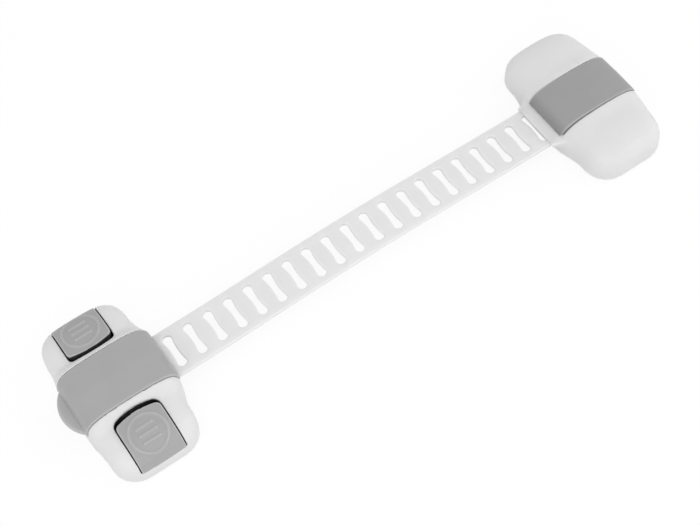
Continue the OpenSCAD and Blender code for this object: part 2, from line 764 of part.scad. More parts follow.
module anchor_housing() {
    middle_x0 = form_lo(anchor_form, 0, wall_t);
    middle_x1 = form_hi(anchor_form, 0, wall_t);
    color([0.9, 0.9, 0.9]) {
        difference() {
            union() {
                pillow(anchor_form, 0, pad_t);
                skin([for (i = [0:collar_steps]) collar_loop(i)]);
            }
            intersection() {
                pillow(anchor_form, wall_t, pad_t - cut);
                union() {
                    both_sides()
                        box([0, clamp_trough_half, -far], [anchor_x + far, far, far]);
                    box([0, -far, -far], [anchor_x + far, far, plate_z]);
                }
            }
            box([middle_x0, -clamp_channel_half, 0], [middle_x1, clamp_channel_half, far]);
            box([0, -clamp_channel_half, mouth_z], [anchor_x + far, clamp_channel_half, far]);
            box([0, -strap_way_half, strap_z - fit_gap], [anchor_x, strap_way_half, strap_top + cover_gap]);
            rod(sweep_r, hinge_x, hinge_z, -clamp_channel_half, clamp_channel_half);
            rod(pin_r + press_gap, hinge_x, hinge_z, -clamp_trough_half + fit_gap, clamp_trough_half - fit_gap);
        }
        screw_bosses(anchor_form);
    }
}

// Block under the strap, with two rows of pegs
block_x0 = form_lo(anchor_form, 0, wall_t) + fit_gap;
block_end_in = 2;
block_x1 = strap_x1 - block_end_in;
block_half = strap_w / 2;
block_t = 1.6;
peg_chamfer = 0.5;
peg_top = strap_top + peg_chamfer + wall_t / 2;
module strap_peg_block() {
    color([0.8, 0.8, 0.8]) {
        difference() {
            box([block_x0, -block_half, plate_z], [block_x1, block_half, strap_z]);
            for (i = [0, 1]) {
                room = (block_x1 - block_x0 - 3 * block_t) / 2;
                x = block_x0 + block_t + i * (room + block_t);
                box([x, -block_half + block_t, plate_z - cut], [x + room, block_half - block_t, strap_z - block_t]);
            }
        }
        for (i = [0:peg_rows - 1], y = [-stud_y, stud_y])
            translate([peg_x + i * slot_pitch, y, strap_z]) {
                cylinder(r = peg_r, h = peg_top - strap_z - peg_chamfer);
                translate([0, 0, peg_top - strap_z - peg_chamfer])
                    cylinder(r1 = peg_r, r2 = peg_r - peg_chamfer, h = peg_chamfer);
            }
    }
}

// Hinged cover that holds the strap down on the pegs
clamp_side_t = 1;
clamp_in_half = clamp_half - clamp_side_t;
rib_t = 1.2;
module anchor_cover() {
    rib_xs = [peg_x + slot_pitch / 2, peg_x + 3 * slot_pitch / 2];
    skirt_z = mouth_z;
    color([0.62, 0.62, 0.62])
        difference() {
            union() {
                difference() {
                    cover_block(clamp_x0, clamp_x1, clamp_half, clamp_top, clamp_crown, clamp_crest);
                    box([0, -far, -far], [hinge_x, far, skirt_z + fit_gap / 2]);
                    box([hinge_x - cut, -far, -far], [anchor_x + far, far, cover_end_z]);
                    rotate([90, 0, 0])
                        translate([0, 0, -clamp_in_half])
                            linear_extrude(2 * clamp_in_half)
                                polygon([for (p = cover_loop(clamp_x0, clamp_x1, clamp_half,
                                                             clamp_top - clamp_crown, 0, cover_t, clamp_crest))
                                         [p[0], p[2]]]);
                }
                both_sides()
                    rod(lug_r, hinge_x, hinge_z, clamp_half - lug_t, clamp_half);
                for (x = rib_xs)
                    box([x - rib_t / 2, -stud_y, strap_top + cover_gap],
                        [x + rib_t / 2, stud_y, cover_z(clamp_x0, clamp_x1, clamp_top - clamp_crown, x, clamp_crest)
                                        - cover_t / 2]);
            }
            rod(pin_r + pin_gap, hinge_x, hinge_z, -clamp_half - cut, clamp_half + cut);
        }
}
module cover_hinge_pin() {
    color("silver")
        rod(pin_r, hinge_x, hinge_z, -clamp_trough_half + 2 * fit_gap, clamp_trough_half - 2 * fit_gap);
}

module lock_adhesive_pad() { adhesive_pad(lock_form); }
module lock_base_plate() { base_plate(lock_form); }
module lock_base_screws() { base_screws(lock_form); }
module anchor_adhesive_pad() { adhesive_pad(anchor_form); }
module anchor_base_plate() { base_plate(anchor_form); }
module anchor_base_screws() { base_screws(anchor_form); }

lock_adhesive_pad();
lock_base_plate();
lock_base_screws();
lock_housing();
button_front();
button_rear();
button_spring_front();
button_spring_rear();
latch_cover();
latch_tray();
latch_screws();
catch_clip();
strap_keeper();
strap();
anchor_adhesive_pad();
anchor_base_plate();
anchor_base_screws();
anchor_housing();
strap_peg_block();
anchor_cover();
cover_hinge_pin();
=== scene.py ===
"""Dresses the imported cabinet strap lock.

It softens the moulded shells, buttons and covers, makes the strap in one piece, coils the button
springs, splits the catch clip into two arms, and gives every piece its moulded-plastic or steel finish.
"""

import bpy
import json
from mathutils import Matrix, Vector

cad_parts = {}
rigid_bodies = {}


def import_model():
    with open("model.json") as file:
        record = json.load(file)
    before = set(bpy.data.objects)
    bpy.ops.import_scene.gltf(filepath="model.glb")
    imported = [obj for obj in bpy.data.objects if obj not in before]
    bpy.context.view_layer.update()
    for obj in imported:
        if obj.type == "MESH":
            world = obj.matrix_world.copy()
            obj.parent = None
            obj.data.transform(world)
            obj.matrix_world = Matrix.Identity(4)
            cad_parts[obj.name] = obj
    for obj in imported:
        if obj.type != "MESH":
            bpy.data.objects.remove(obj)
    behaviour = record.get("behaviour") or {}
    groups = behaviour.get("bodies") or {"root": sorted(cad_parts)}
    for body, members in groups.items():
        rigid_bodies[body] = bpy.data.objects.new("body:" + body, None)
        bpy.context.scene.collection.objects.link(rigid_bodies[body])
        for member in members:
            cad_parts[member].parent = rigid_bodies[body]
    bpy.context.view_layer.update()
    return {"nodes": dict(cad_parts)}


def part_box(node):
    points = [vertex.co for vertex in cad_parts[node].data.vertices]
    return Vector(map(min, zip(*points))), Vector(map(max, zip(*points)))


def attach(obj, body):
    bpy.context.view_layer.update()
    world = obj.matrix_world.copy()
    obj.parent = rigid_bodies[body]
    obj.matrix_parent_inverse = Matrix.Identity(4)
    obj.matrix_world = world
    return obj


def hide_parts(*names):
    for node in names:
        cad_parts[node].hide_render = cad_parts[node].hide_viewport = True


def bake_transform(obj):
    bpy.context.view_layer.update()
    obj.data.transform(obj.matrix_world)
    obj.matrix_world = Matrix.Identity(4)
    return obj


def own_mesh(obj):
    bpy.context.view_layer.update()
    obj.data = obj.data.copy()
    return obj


bl_info = {
    "name": "Cabinet Strap Lock",
    "version": (1, 0, 0),
    "blender": (4, 5, 0),
    "location": "View3D > Sidebar > Strap Lock",
    "description": "Builds the looks of a stick-on cabinet strap lock around its packed model",
    "category": "Object",
}

import json
import math

import bpy
import numpy as np
from mathutils import Matrix, Vector
from mathutils.bvhtree import BVHTree

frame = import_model()
NODES = frame["nodes"]
MM = 0.001

# How close two points are to be one: in a CAD node's mesh, and in a new one
MERGE_CAD = 0.002 * MM
MERGE_NEW = 0.001 * MM

# The strap, as in the part's source: its slots and low arch, and the stretch of it that bends
SLOT_PITCH = 8 * MM
FIRST_SLOT_X = 14 * MM
SLOT_COUNT = 24
SLOT_LENGTH = 12.9 * MM
SLOT_END_WIDTH = 3.4 * MM
SLOT_WAIST = 2.3 / 3.4
STRAP_THICK = 1.6 * MM
STRAP_CORNER = 2.5 * MM
ARCH_START_X = 18.445 * MM
ARCH_END_X = 174.3 * MM

# The cutter of the slots: how far it starts under the strap, its height, and what counts as its middle line
CUTTER_BELOW = 2 * MM
CUTTER_HEIGHT = 8 * MM
MIDDLE_LINE = 0.01 * MM

# The inside: the springs' wire and the clip's edge
SPRING_WIRE = 0.5 * MM
CLIP_EDGE = 0.12 * MM

# The shade painted into the colour of the gaps: rays round each point's normal, how far off it they start, and
# how far they look
SHADE_RAYS = 14
SHADE_LIFT = 0.03 * MM
SHADE_REACH = 7 * MM

# The share of blocked rays from which shade is painted into a gap, over what share it darkens, and the painted
# shade's colour
GAP_FROM = 0.5
GAP_SOFT = 0.25
PAINTED_GAP_SHADE_COLOUR = (0.07, 0.07, 0.071, 1)

# How sharply a surface turns outwards where the highlight painted along its edges starts, and where it is
# strongest
EDGE_HIGHLIGHT_FROM = 0.012
EDGE_HIGHLIGHT_FULL = 0.07

# Plastic: how far its roughness swings either way, the height of its grain, and how deep light goes into it
ROUGH_SWING = 0.06
GRAIN_HEIGHT = 0.02 * MM
MILK_DEPTH = 3 * MM

# Where the latch housing has its button openings, round which shade is painted in the gaps: middle, half width,
# and nearest and lowest point
OPENING_X = -0.4 * MM
OPENING_HALF = 9.6 * MM
OPENING_FROM_Y = 11.5 * MM
OPENING_FROM_Z = 2 * MM

# The soft roll at the mouth end of the anchor cover, with shade painted darker towards its edge, on the faces
# that look up at least this much
ROLL_WIDTH = 3.0 * MM
ROLL_DROP = 0.8 * MM
PAINTED_ROLL_SHADE = 0.09
ROLL_FACING = 0.15

# The lip of the anchor's collar over the strap: where it starts and over what length it grows, how far it
# reaches out and comes down, how wide it may be either way, and the heights between which it fades in
LIP_START_X = 177.6 * MM
LIP_LENGTH = 3.0 * MM
LIP_HALF = 16.5 * MM
LIP_REACH = 1.0 * MM
LIP_DROP = 0.1 * MM
LIP_LOW_Z, LIP_HIGH_Z = 7.2 * MM, 8.5 * MM

# The anchor's end flank beside the cover, filled out to a straight line: its middle, half width and depth,
# where the fill starts, how far it grows, and how high above the pad it is whole
FLANK_Y = 16.5 * MM
FLANK_HALF = 7.0 * MM
FLANK_FILL = 0.4 * MM
FLANK_FROM_X = 196 * MM
FLANK_RUN = 12 * MM
FLANK_FOOT = 3 * MM

# The sky's level on the object, and where it is seen directly
SKY_LEVEL = 0.645
BACKDROP_LEVEL = 1.05

# The floor: its colour, how clear it looks from above, and the middle of the lock on it
FLOOR_COLOUR = (0.85, 0.85, 0.85, 1)
FLOOR_CLEAR = 0.82
FLOOR_MIDDLE = (98 * MM, 0, 0.05 * MM)

# The soft lamps, each with its name, place, size and power, and the point that they face
LAMPS = (
    ("key", (-0.45, -0.55, 0.75), 1.3, 4.5),
    ("fill", (1.4, -0.5, 0.7), 1.6, 6.8),
)
LAMP_AIM = (90 * MM, 0, 10 * MM)

# The camera at the photo's angle: lens and film in Blender's millimetres, place, and axes
CAMERA_LENS = 72
CAMERA_FILM = 36
CAMERA_PLACE = (-32.85 * MM, -211.25 * MM, 424.13 * MM)
CAMERA_RIGHT = (0.8211, -0.5693, -0.0407)
CAMERA_UP = (0.5116, 0.7025, 0.4947)
CAMERA_BACK = (-0.2531, -0.4271, 0.8681)


class StrapLockSizes(bpy.types.PropertyGroup):
    shell_voxel: bpy.props.FloatProperty(
        name="Shell Voxel", description="Voxel size of the housings' softened shells",
        default=0.3 * MM, min=0.2 * MM, max=1 * MM, precision=5, unit="LENGTH")
    button_voxel: bpy.props.FloatProperty(
        name="Button Voxel", description="Voxel size of the softened buttons, covers, tray and peg block",
        default=0.2 * MM, min=0.15 * MM, max=1 * MM, precision=5, unit="LENGTH")
    edge_round: bpy.props.FloatProperty(
        name="Strap Edge Round", description="Width of the rounding along the strap's and its slots' edges",
        default=0.5 * MM, min=0.05 * MM, max=0.7 * MM, precision=5, unit="LENGTH")
    slot_points: bpy.props.IntProperty(
        name="Slot Points", description="Points round the ends of each slot of the strap",
        default=40, min=16, max=96)
    spring_curls: bpy.props.IntProperty(
        name="Spring Curls", description="Curls in each button spring",
        default=6, min=3, max=12)
    floor_size: bpy.props.FloatProperty(
        name="Floor Size", description="Side of the floor under the lock",
        default=6.0, min=1.0, max=20.0, unit="LENGTH")


class StrapLockColours(bpy.types.PropertyGroup):
    housing: bpy.props.FloatVectorProperty(
        name="Housing White", description="Colour of the two pillow-shaped housings",
        default=(0.79, 0.79, 0.79), size=3, min=0, max=1, subtype="COLOR")
    strap: bpy.props.FloatVectorProperty(
        name="Strap White", description="Colour of the flexible strap",
        default=(0.787, 0.787, 0.787), size=3, min=0, max=1, subtype="COLOR")
    cover: bpy.props.FloatVectorProperty(
        name="Latch Cover Grey", description="Colour of the latch cover",
        default=(0.4, 0.4, 0.401), size=3, min=0, max=1, subtype="COLOR")
    lid: bpy.props.FloatVectorProperty(
        name="Anchor Cover Grey", description="Colour of the anchor cover",
        default=(0.34, 0.34, 0.341), size=3, min=0, max=1, subtype="COLOR")
    button: bpy.props.FloatVectorProperty(
        name="Button Grey", description="Colour of the two squeeze buttons",
        default=(0.385, 0.385, 0.387), size=3, min=0, max=1, subtype="COLOR")
    tray: bpy.props.FloatVectorProperty(
        name="Tray Grey", description="Colour of the tray and its finger tab",
        default=(0.46, 0.46, 0.462), size=3, min=0, max=1, subtype="COLOR")


def clear_selection():
    """Leaves edit mode and selects nothing."""
    if bpy.context.object and bpy.context.object.mode != "OBJECT":
        bpy.ops.object.mode_set(mode="OBJECT")
    bpy.ops.object.select_all(action="DESELECT")


def pick(obj):
    """Selects one object alone and makes it active."""
    clear_selection()
    obj.select_set(True)
    bpy.context.view_layer.objects.active = obj


def finish_with(obj, kind, **settings):
    """Adds one modifier with these settings and applies it."""
    pick(obj)
    modifier = obj.modifiers.new(kind.title(), kind)
    for name, value in settings.items():
        setattr(modifier, name, value)
    bpy.ops.object.modifier_apply(modifier=modifier.name)


def merged_copy(node, name):
    """A copy of a CAD node with its own mesh, its loose triangles merged."""
    obj = bpy.data.objects.new(name, NODES[node].data.copy())
    bpy.context.scene.collection.objects.link(obj)
    obj.data.materials.clear()
    pick(obj)
    bpy.ops.object.mode_set(mode="EDIT")
    bpy.ops.mesh.select_all(action="SELECT")
    bpy.ops.mesh.remove_doubles(threshold=MERGE_CAD)
    bpy.ops.object.mode_set(mode="OBJECT")
    return obj


def softened(node, name, voxel, passes, broad_passes, edge_angle):
    """A copy of a CAD node with rounded edges: remeshed and smoothed, its broad faces most."""
    obj = merged_copy(node, name)
    finish_with(obj, "REMESH", mode="VOXEL", voxel_size=voxel, use_smooth_shade=True)
    finish_with(obj, "SMOOTH", factor=0.5, iterations=passes)
    pick(obj)
    bpy.ops.object.mode_set(mode="EDIT")
    bpy.ops.mesh.select_mode(type="EDGE")
    bpy.ops.mesh.select_all(action="DESELECT")
    bpy.ops.mesh.edges_select_sharp(sharpness=math.radians(edge_angle))
    bpy.ops.mesh.select_more()
    bpy.ops.mesh.select_all(action="INVERT")
    bpy.ops.mesh.select_mode(type="VERT")
    broad = obj.vertex_groups.new(name="broad")
    bpy.ops.object.vertex_group_assign()
    bpy.ops.object.mode_set(mode="OBJECT")
    finish_with(obj, "SMOOTH", factor=0.5, iterations=broad_passes, vertex_group=broad.name)
    obj.vertex_groups.clear()
    pick(obj)
    bpy.ops.object.shade_smooth()
    note_edge_turn(obj.data)
    return obj


def neighbours(edges, size):
    """How many edges meet at each point, at least 1."""
    one, two = edges
    return np.maximum(np.bincount(one, minlength=size) + np.bincount(two, minlength=size), 1)


def spread(values, edges, passes):
    """Evens out a number per point along the mesh's edges, each time more than half way to its neighbours."""
    one, two = edges
    size = len(values)
    count = neighbours(edges, size)
    for _ in range(passes):
        total = np.bincount(one, values[two], size) + np.bincount(two, values[one], size)
        values = 0.4 * values + 0.6 * total / count
    return values


def edges_of(mesh):
    """The two end points of every edge, as two rows of numbers."""
    ends = np.empty(len(mesh.edges) * 2, dtype=np.int32)
    mesh.edges.foreach_get("vertices", ends)
    return ends.reshape(-1, 2).T


def write_attribute(mesh, name, values):
    """Keeps a number for each point of the mesh, for its material."""
    mesh.attributes.new(name, "FLOAT", "POINT").data.foreach_set("value", values.astype(np.float32))


def note_edge_turn(mesh):
    """Writes an attribute of how sharply the surface turns outwards at each point, which the materials use for
    a painted edge highlight.
    """
    places = np.empty(len(mesh.vertices) * 3)
    mesh.vertices.foreach_get("co", places)
    places = places.reshape(-1, 3)
    normals = np.array([normal.vector for normal in mesh.vertex_normals])
    one, two = edges_of(mesh)
    step = places[two] - places[one]
    step /= np.maximum(np.linalg.norm(step, axis=1), 1e-9)[:, None]
    size = len(places)
    turn = np.bincount(two, (step * normals[two]).sum(1), size)
    turn -= np.bincount(one, (step * normals[one]).sum(1), size)
    turn /= neighbours((one, two), size)
    write_attribute(mesh, "edge_turn", spread(turn, (one, two), 3))


def hemisphere(count):
    """Evenly spread directions round +Z, more of them near the pole."""
    turn = math.pi * (3 - math.sqrt(5))
    rows = []
    for i in range(count):
        out = math.sqrt((i + 0.5) / count)
        rows.append(Vector((out * math.cos(turn * i), out * math.sin(turn * i), math.sqrt(1 - out * out))))
    return rows


def note_shade(obj, walls, near):
    """Writes an attribute of painted shade: 0 in the open, 1 deep in a gap between the piece and these walls.
    """
    corners, faces = [], []
    for other in (obj, *walls):
        start = len(corners)
        corners += [vertex.co.copy() for vertex in other.data.vertices]
        faces += [[start + i for i in face.vertices] for face in other.data.polygons]
    tree = BVHTree.FromPolygons(corners, faces)
    mesh = obj.data
    shade = np.zeros(len(mesh.vertices))
    rays = hemisphere(SHADE_RAYS)
    for vertex in mesh.vertices:
        if not near(vertex.co):
            continue
        turned = Vector((0, 0, 1)).rotation_difference(vertex.normal)
        start = vertex.co + vertex.normal * SHADE_LIFT
        hits = sum(tree.ray_cast(start, turned @ ray, SHADE_REACH)[0] is not None for ray in rays)
        shade[vertex.index] = hits / SHADE_RAYS
    write_attribute(mesh, "painted_shade", spread(shade, edges_of(mesh), 3))


def pick_edges(obj, wanted):
    """Selects, in edit mode, the edges whose two ends pass the test."""
    bpy.ops.mesh.select_all(action="DESELECT")
    bpy.ops.object.mode_set(mode="OBJECT")
    points = obj.data.vertices
    for edge in obj.data.edges:
        edge.select = wanted(*(points[i].co for i in edge.vertices))
    bpy.ops.object.mode_set(mode="EDIT")


def pick_points(obj, wanted):
    """Selects, in edit mode, the points whose place passes the test."""
    bpy.ops.mesh.select_all(action="DESELECT")
    bpy.ops.object.mode_set(mode="OBJECT")
    for vertex in obj.data.vertices:
        vertex.select = wanted(vertex.co)
    bpy.ops.object.mode_set(mode="EDIT")


def face_outwards():
    """Turns all faces of the mesh in edit mode outwards."""
    bpy.ops.mesh.select_all(action="SELECT")
    bpy.ops.mesh.normals_make_consistent(inside=False)


def hand_over(obj, body, slot, material, *nodes):
    """Puts a finished piece on its body, in place of the CAD nodes it stands for."""
    obj.data.materials.clear()
    obj.data.materials.append(material)
    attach(obj, body)
    if nodes:
        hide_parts(*nodes)


def add_node(tree, kind, **values):
    """A new shader node with these sockets set, each named with _ for a space."""
    made = tree.nodes.new("ShaderNode" + kind)
    for name, value in values.items():
        made.inputs[name.replace("_", " ")].default_value = value
    return made


def mixed_colour(tree, share, first, second):
    """The first colour turning into the second, a plain one, by this share."""
    mix = add_node(tree, "Mix")
    mix.data_type = "RGBA"
    factor, one, two, result = mix.inputs[0], mix.inputs[6], mix.inputs[7], mix.outputs[2]
    two.default_value = second
    tree.links.new(share, factor)
    tree.links.new(first, one)
    return result


def from_attribute(tree, name, **ends):
    """One of the pieces' own attributes, as a share from 0 to 1 or between these ends."""
    source = add_node(tree, "Attribute")
    source.attribute_name = name
    fitted = add_node(tree, "MapRange", **ends)
    tree.links.new(source.outputs["Fac"], fitted.inputs["Value"])
    return fitted


def plastic(name, colour, rough=0.38, grain=0.15, grain_size=0.12, drift=0.02, milky=0.0, shine=0.5,
            painted_edge_highlight=0.12, gaps=False):
    """Moulded plastic: drift of tone, uneven gloss, fine grain, a highlight painted along convex edges, and
    shade painted dark in the gaps.
    """
    material = bpy.data.materials.new(name)
    material.use_nodes = True
    tree = material.node_tree
    link = tree.links.new
    shader = tree.nodes["Principled BSDF"]
    shader.inputs["IOR"].default_value = 1.5
    shader.inputs["Specular IOR Level"].default_value = shine
    if milky:
        shader.inputs["Subsurface Weight"].default_value = milky
        shader.inputs["Subsurface Radius"].default_value = (1.0, 1.0, 1.0)
        shader.inputs["Subsurface Scale"].default_value = MILK_DEPTH

    place = add_node(tree, "TexCoord")
    slow = add_node(tree, "TexNoise", Scale=90, Detail=3)
    uneven = add_node(tree, "TexNoise", Scale=450, Detail=5)
    fine = add_node(tree, "TexNoise", Scale=1 / (grain_size * MM), Detail=2)
    for texture in (slow, uneven, fine):
        link(place.outputs["Object"], texture.inputs["Vector"])

    tone = add_node(tree, "ValToRGB")
    low, high = tone.color_ramp.elements
    low.position, high.position = 0.3, 0.7
    low.color = (*[c * (1 - drift) for c in colour], 1)
    high.color = (*[min(1, c * (1 + drift)) for c in colour], 1)
    link(slow.outputs["Fac"], tone.inputs["Fac"])
    # Painted highlight: the colour lightens towards white along sharply convex edges and raised relief
    edge = from_attribute(tree, "edge_turn", From_Min=EDGE_HIGHLIGHT_FROM, From_Max=EDGE_HIGHLIGHT_FULL, To_Max=painted_edge_highlight)
    surface = mixed_colour(tree, edge.outputs["Result"], tone.outputs["Color"], (1, 1, 1, 1))
    # Painted shade: the colour turns dark grey where a point is shut in by nearby walls
    if gaps:
        deep = from_attribute(tree, "painted_shade", From_Min=GAP_FROM, From_Max=GAP_FROM + GAP_SOFT)
        deep.interpolation_type = "SMOOTHSTEP"
        surface = mixed_colour(tree, deep.outputs["Result"], surface, PAINTED_GAP_SHADE_COLOUR)
    link(surface, shader.inputs["Base Color"])

    gloss = add_node(tree, "MapRange", To_Min=rough - ROUGH_SWING, To_Max=rough + ROUGH_SWING)
    link(uneven.outputs["Fac"], gloss.inputs["Value"])
    link(gloss.outputs["Result"], shader.inputs["Roughness"])
    bump = add_node(tree, "Bump", Strength=grain, Distance=GRAIN_HEIGHT)
    link(fine.outputs["Fac"], bump.inputs["Height"])
    link(bump.outputs["Normal"], shader.inputs["Normal"])
    return material


def steel():
    """Zinc-plated steel with a fine dull grain."""
    material = plastic("zinc_steel", (0.62, 0.63, 0.65), rough=0.3, grain=0.3, grain_size=0.05, drift=0.06)
    material.node_tree.nodes["Principled BSDF"].inputs["Metallic"].default_value = 1.0
    return material


FINISHES = {}


def finishes():
    """Every finish by its short name, made at the first call."""
    if FINISHES:
        return FINISHES
    tint = bpy.context.scene.strap_lock_colours
    FINISHES.update({
        "housing": plastic("moulded_white", tint.housing, rough=0.5, grain=0.12, drift=0.012, milky=0.35,
                           gaps=True),
        "strap": plastic("soft_milk", tint.strap, rough=0.58, grain=0.2, drift=0.012, milky=1.0, shine=0.2),
        "cover": plastic("cover_satin", tint.cover, rough=0.42, grain=0.25),
        "lid": plastic("lid_satin", tint.lid, rough=0.42, grain=0.25, gaps=True),
        "button": plastic("button_satin", tint.button, rough=0.42, grain=0.25, painted_edge_highlight=0.15, gaps=True),
        "tray": plastic("tray_satin", tint.tray, rough=0.42, grain=0.25),
        "clip": plastic("clip_pale", (0.62, 0.62, 0.6), rough=0.35, grain=0.1),
        "plate": plastic("plate_shadow", (0.035, 0.035, 0.037), rough=0.5, grain=0.3),
        "block": plastic("block_pale", (0.6, 0.6, 0.6), rough=0.4),
        "foam": plastic("foam_grey", (0.42, 0.42, 0.4), rough=0.85, grain=0.9, grain_size=0.35, drift=0.1),
        "steel": steel(),
    })
    return FINISHES


def seen_directly(tree):
    """1 for rays from the camera, a mirror or glass, else 0."""
    path = add_node(tree, "LightPath")
    total = path.outputs["Is Camera Ray"]
    for name in ("Is Glossy Ray", "Is Transmission Ray"):
        either = add_node(tree, "Math")
        either.operation = "MAXIMUM"
        tree.links.new(total, either.inputs[0])
        tree.links.new(path.outputs[name], either.inputs[1])
        total = either.outputs[0]
    return total


def mixed_shader(tree, share, first, second):
    """One surface turning into another by this share."""
    mix = add_node(tree, "MixShader")
    for source, socket in zip((share, first, second), mix.inputs):
        tree.links.new(source, socket)
    return mix.outputs[0]


def floor_white():
    """Matt white that shows the white sky through it, keeps a soft shadow, and is clear from below."""
    material = bpy.data.materials.new("floor_white")
    material.use_nodes = True
    tree = material.node_tree
    tree.nodes.clear()
    matt = add_node(tree, "BsdfDiffuse", Color=FLOOR_COLOUR).outputs[0]
    clear = add_node(tree, "BsdfTransparent").outputs[0]
    share = add_node(tree, "Math")
    share.operation = "MULTIPLY"
    share.inputs[1].default_value = FLOOR_CLEAR
    tree.links.new(seen_directly(tree), share.inputs[0])
    above = mixed_shader(tree, share.outputs[0], matt, clear)
    below = add_node(tree, "NewGeometry").outputs["Backfacing"]
    out = add_node(tree, "OutputMaterial")
    tree.links.new(mixed_shader(tree, below, above, clear), out.inputs["Surface"])
    return material


def in_button_opening(place):
    """Whether a point of the latch housing is in or beside one of its button openings."""
    beside = abs(place.x - OPENING_X) < OPENING_HALF
    return beside and abs(place.y) > OPENING_FROM_Y and place.z > OPENING_FROM_Z


def smooth_step(value):
    """0 up to 0, 1 from 1, and a soft rise between."""
    value = min(1, max(0, value))
    return value * value * (3 - 2 * value)


def shape_anchor(shell):
    """Draws the collar's lip out over the strap, and fills out the end flank beside the cover."""
    for vertex in shell.data.vertices:
        place = vertex.co
        out = smooth_step((LIP_START_X - place.x) / LIP_LENGTH)
        if out > 0 and abs(place.y) < LIP_HALF:
            out *= smooth_step((place.z - LIP_LOW_Z) / (LIP_HIGH_Z - LIP_LOW_Z))
            place.x -= LIP_REACH * out
            place.z -= LIP_DROP * out
        aside = 1 - abs(abs(place.y) - FLANK_Y) / FLANK_HALF
        if aside > 0 and place.x > FLANK_FROM_X:
            along = smooth_step((place.x - FLANK_FROM_X) / FLANK_RUN)
            place.x += FLANK_FILL * smooth_step(aside) * along * smooth_step(place.z / FLANK_FOOT)


class STRAPLOCK_OT_shells(bpy.types.Operator):
    """Softens the two white housings"""
    bl_idname = "straplock.shells"
    bl_label = "Housings"

    def execute(self, context):
        voxel = context.scene.strap_lock_sizes.shell_voxel
        look = finishes()["housing"]
        for node, body in (("lock_housing", "lock"), ("anchor_housing", "anchor")):
            shell = softened(node, node + "_shell", voxel, passes=5, broad_passes=60, edge_angle=12)
            if body == "anchor":
                shape_anchor(shell)
            if body == "lock":
                # Shade painted into the housing's colour in the gaps round the buttons
                note_shade(shell, (NODES["button_front"], NODES["button_rear"]), in_button_opening)
            hand_over(shell, body, "housing_white", look, node)
        return {"FINISHED"}


def small_skin(node, broad_passes=50):
    """A softened copy of one of the smaller pieces."""
    voxel = bpy.context.scene.strap_lock_sizes.button_voxel
    return softened(node, node + "_skin", voxel, passes=3, broad_passes=broad_passes, edge_angle=9)


class STRAPLOCK_OT_buttons(bpy.types.Operator):
    """Softens the two squeeze buttons and their raised grips"""
    bl_idname = "straplock.buttons"
    bl_label = "Buttons"

    def execute(self, context):
        for end in ("front", "rear"):
            node = "button_" + end
            button = small_skin(node, broad_passes=8)
            # Shade painted into the button's colour where the housing shuts it in
            note_shade(button, (NODES["lock_housing"],), lambda place: True)
            hand_over(button, end + "_button", "button_grey", finishes()["button"], node)
        return {"FINISHED"}


def roll_end(cover, end_x):
    """Lets the cover's outer face down in a soft roll along its mouth end, with shade painted darker towards
    the edge.
    """
    mesh = cover.data
    shade = np.zeros(len(mesh.vertices))
    for vertex in mesh.vertices:
        left = 1 - (vertex.co.x - end_x) / ROLL_WIDTH
        if left <= 0:
            continue
        # Painted shade, darker towards the mouth end by distance alone, not by light
        shade[vertex.index] = GAP_FROM + PAINTED_ROLL_SHADE * math.sqrt(min(1, left))
        facing = vertex.normal.z - ROLL_FACING
        if facing > 0:
            vertex.co.z -= ROLL_DROP * left * left * min(1, 2 * facing)
    write_attribute(mesh, "painted_shade", shade)


class STRAPLOCK_OT_covers(bpy.types.Operator):
    """Softens the latch cover and the anchor cover, and rolls the anchor cover's mouth end"""
    bl_idname = "straplock.covers"
    bl_label = "Covers"

    def execute(self, context):
        look = finishes()
        hand_over(small_skin("latch_cover"), "latch", "cover_grey", look["cover"], "latch_cover")
        lid = small_skin("anchor_cover")
        roll_end(lid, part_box("anchor_cover")[0][0])
        hand_over(lid, "anchor_lid", "cover_grey", look["lid"], "anchor_cover")
        return {"FINISHED"}


class STRAPLOCK_OT_seats(bpy.types.Operator):
    """Softens the two pieces that the strap sits on: the tray with its finger tab, and the peg block"""
    bl_idname = "straplock.seats"
    bl_label = "Tray and Peg Block"

    def execute(self, context):
        look = finishes()
        hand_over(small_skin("latch_tray"), "latch", "tray_grey", look["tray"], "latch_tray")
        hand_over(small_skin("strap_peg_block"), "anchor", "block_white", look["block"], "strap_peg_block")
        return {"FINISHED"}


